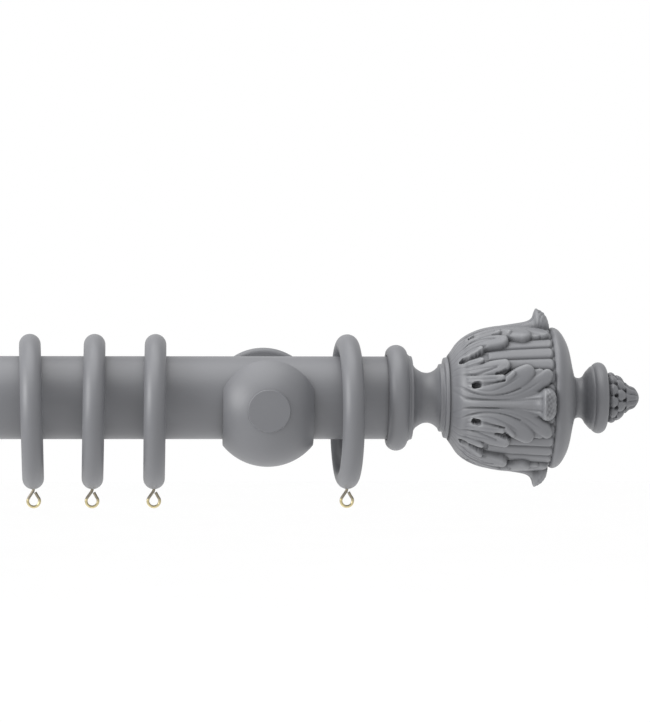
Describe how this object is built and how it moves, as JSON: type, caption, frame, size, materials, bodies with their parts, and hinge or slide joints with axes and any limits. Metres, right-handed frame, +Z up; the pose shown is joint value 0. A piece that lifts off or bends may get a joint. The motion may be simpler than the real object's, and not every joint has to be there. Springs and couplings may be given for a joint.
{
  "type": "curtain rod with brackets",
  "caption": "Painted wooden curtain pole that rests in ball-shaped cup brackets on round wall roses, with sliding rings that carry wire eyes and carved leafy urn finials.",
  "frame": {"origin": "on the wall's surface at the middle of the pole's length, level with the pole's axis", "axes": "+Y into the wall, so the room is at -Y; +X along the pole to the right as seen from the room; +Z up"},
  "size_m": [1.493, 0.1751, 0.1227],
  "materials": {
    "pole_paint": "mid-grey eggshell paint on wood",
    "ring_paint": "mid-grey eggshell paint on wood",
    "bracket_paint": "mid-grey eggshell paint on wood",
    "finial_paint": "mid-grey eggshell paint on carved wood",
    "eye_brass": "brass-plated wire, worn dull at the shank",
    "insert_brass": "machined brass",
    "plate_steel": "zinc-plated steel plate",
    "stud_steel": "zinc-plated threaded rod",
    "screw_steel": "zinc-plated screws"
  },
  "bodies": {
    "brackets": {"wall_plate_right": "plate_steel", "wall_screw_upper_right": "screw_steel", "wall_screw_lower_right": "screw_steel", "wall_rose_right": "bracket_paint", "bracket_arm_right": "bracket_paint", "bracket_stud_right": "stud_steel", "bracket_cup_right": "bracket_paint", "wall_plate_left": "plate_steel", "wall_screw_upper_left": "screw_steel", "wall_screw_lower_left": "screw_steel", "wall_rose_left": "bracket_paint", "bracket_arm_left": "bracket_paint", "bracket_stud_left": "stud_steel", "bracket_cup_left": "bracket_paint"},
    "pole": {"pole": "pole_paint", "threaded_insert_right": "insert_brass", "threaded_insert_left": "insert_brass"},
    "finial_right": {"finial_base_right": "finial_paint", "finial_urn_right": "finial_paint", "finial_cap_right": "finial_paint", "finial_stud_right": "stud_steel"},
    "lock_screw_right": {"lock_screw_right": "screw_steel"},
    "finial_left": {"finial_base_left": "finial_paint", "finial_urn_left": "finial_paint", "finial_cap_left": "finial_paint", "finial_stud_left": "stud_steel"},
    "lock_screw_left": {"lock_screw_left": "screw_steel"},
    "ring_1": {"ring_1": "ring_paint"},
    "screw_eye_1": {"screw_eye_1": "eye_brass"},
    "ring_2": {"ring_2": "ring_paint"},
    "screw_eye_2": {"screw_eye_2": "eye_brass"},
    "ring_3": {"ring_3": "ring_paint"},
    "screw_eye_3": {"screw_eye_3": "eye_brass"},
    "ring_4": {"ring_4": "ring_paint"},
    "screw_eye_4": {"screw_eye_4": "eye_brass"},
    "ring_5": {"ring_5": "ring_paint"},
    "screw_eye_5": {"screw_eye_5": "eye_brass"},
    "ring_6": {"ring_6": "ring_paint"},
    "screw_eye_6": {"screw_eye_6": "eye_brass"},
    "ring_7": {"ring_7": "ring_paint"},
    "screw_eye_7": {"screw_eye_7": "eye_brass"},
    "ring_8": {"ring_8": "ring_paint"},
    "screw_eye_8": {"screw_eye_8": "eye_brass"}
  },
  "joints": [
    {"name": "pole_lift", "type": "slide", "parent": "brackets", "child": "pole", "axis": [0, 0, 1], "range_m": [0, 0.06]},
    {"name": "finial_right_unscrew", "type": "hinge", "parent": "pole", "child": "finial_right", "pos_m": [0.6, -0.09, 0], "axis": [1, 0, 0], "continuous": true},
    {"name": "lock_screw_right_turn", "type": "hinge", "parent": "brackets", "child": "lock_screw_right", "pos_m": [0.517, -0.09, -0.038], "axis": [0, 0, 1], "continuous": true},
    {"name": "finial_left_unscrew", "type": "hinge", "parent": "pole", "child": "finial_left", "pos_m": [-0.6, -0.09, 0], "axis": [-1, 0, 0], "continuous": true},
    {"name": "lock_screw_left_turn", "type": "hinge", "parent": "brackets", "child": "lock_screw_left", "pos_m": [-0.517, -0.09, -0.038], "axis": [0, 0, 1], "continuous": true},
    {"name": "ring_1_slide", "type": "slide", "parent": "pole", "child": "ring_1", "axis": [1, 0, 0], "range_m": [-0.014, 0.017]},
    {"name": "screw_eye_1_turn", "type": "hinge", "parent": "ring_1", "child": "screw_eye_1", "pos_m": [-0.566, -0.09, -0.0634], "axis": [0, 0, 1], "continuous": true},
    {"name": "ring_2_slide", "type": "slide", "parent": "pole", "child": "ring_2", "axis": [1, 0, 0], "range_m": [-0.038, 0.02]},
    {"name": "screw_eye_2_turn", "type": "hinge", "parent": "ring_2", "child": "screw_eye_2", "pos_m": [-0.44753, -0.09, -0.0634], "axis": [-0.0105, 0.0001, 0.9999], "continuous": true},
    {"name": "ring_3_slide", "type": "slide", "parent": "pole", "child": "ring_3", "axis": [1, 0, 0], "range_m": [-0.02, 0.02]},
    {"name": "screw_eye_3_turn", "type": "hinge", "parent": "ring_3", "child": "screw_eye_3", "pos_m": [-0.40984, -0.09002, -0.06339], "axis": [-0.0157, 0.0004, 0.9999], "continuous": true},
    {"name": "ring_4_slide", "type": "slide", "parent": "pole", "child": "ring_4", "axis": [1, 0, 0], "range_m": [-0.02, 0.72]},
    {"name": "screw_eye_4_turn", "type": "hinge", "parent": "ring_4", "child": "screw_eye_4", "pos_m": [-0.37424, -0.08994, -0.06338], "axis": [0.0244, -0.0012, 0.9997], "continuous": true},
    {"name": "ring_5_slide", "type": "slide", "parent": "pole", "child": "ring_5", "axis": [1, 0, 0], "range_m": [-0.72, 0.02]},
    {"name": "screw_eye_5_turn", "type": "hinge", "parent": "ring_5", "child": "screw_eye_5", "pos_m": [0.37424, -0.08994, -0.06338], "axis": [-0.0244, -0.0012, 0.9997], "continuous": true},
    {"name": "ring_6_slide", "type": "slide", "parent": "pole", "child": "ring_6", "axis": [1, 0, 0], "range_m": [-0.02, 0.02]},
    {"name": "screw_eye_6_turn", "type": "hinge", "parent": "ring_6", "child": "screw_eye_6", "pos_m": [0.40984, -0.09002, -0.06339], "axis": [0.0157, 0.0004, 0.9999], "continuous": true},
    {"name": "ring_7_slide", "type": "slide", "parent": "pole", "child": "ring_7", "axis": [1, 0, 0], "range_m": [-0.02, 0.038]},
    {"name": "screw_eye_7_turn", "type": "hinge", "parent": "ring_7", "child": "screw_eye_7", "pos_m": [0.44753, -0.09, -0.0634], "axis": [0.0105, 0.0001, 0.9999], "continuous": true},
    {"name": "ring_8_slide", "type": "slide", "parent": "pole", "child": "ring_8", "axis": [1, 0, 0], "range_m": [-0.017, 0.014]},
    {"name": "screw_eye_8_turn", "type": "hinge", "parent": "ring_8", "child": "screw_eye_8", "pos_m": [0.566, -0.09, -0.0634], "axis": [0, 0, 1], "continuous": true}
  ]
}
